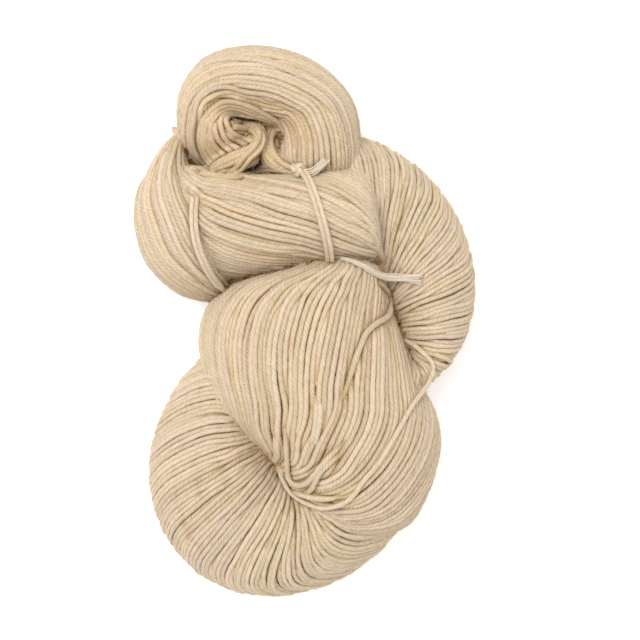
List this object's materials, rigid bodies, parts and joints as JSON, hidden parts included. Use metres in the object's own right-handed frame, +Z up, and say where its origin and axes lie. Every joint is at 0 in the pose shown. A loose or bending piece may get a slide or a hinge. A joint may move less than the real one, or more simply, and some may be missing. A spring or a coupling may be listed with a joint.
{
  "type": "hank of merino wool yarn",
  "caption": "Hank of undyed cream merino wool yarn, twisted on itself and tucked into a bun, held by knotted strands of its own yarn.",
  "frame": {"origin": "on the table, under the middle of the hank's box", "axes": "+Z up from the table, +Y along the hank towards its bun, +X across it"},
  "size_m": [0.1354, 0.2206, 0.0678],
  "materials": {
    "yarn": "matte plied wool",
    "tie_yarn": "matte plied wool",
    "open_yarn": "matte untwisted wool"
  },
  "bodies": {
    "root": {"hank": "yarn", "band_tie": "tie_yarn", "side_tie": "tie_yarn", "tie_end": "open_yarn", "loose_strand": "tie_yarn"}
  },
  "joints": []
}
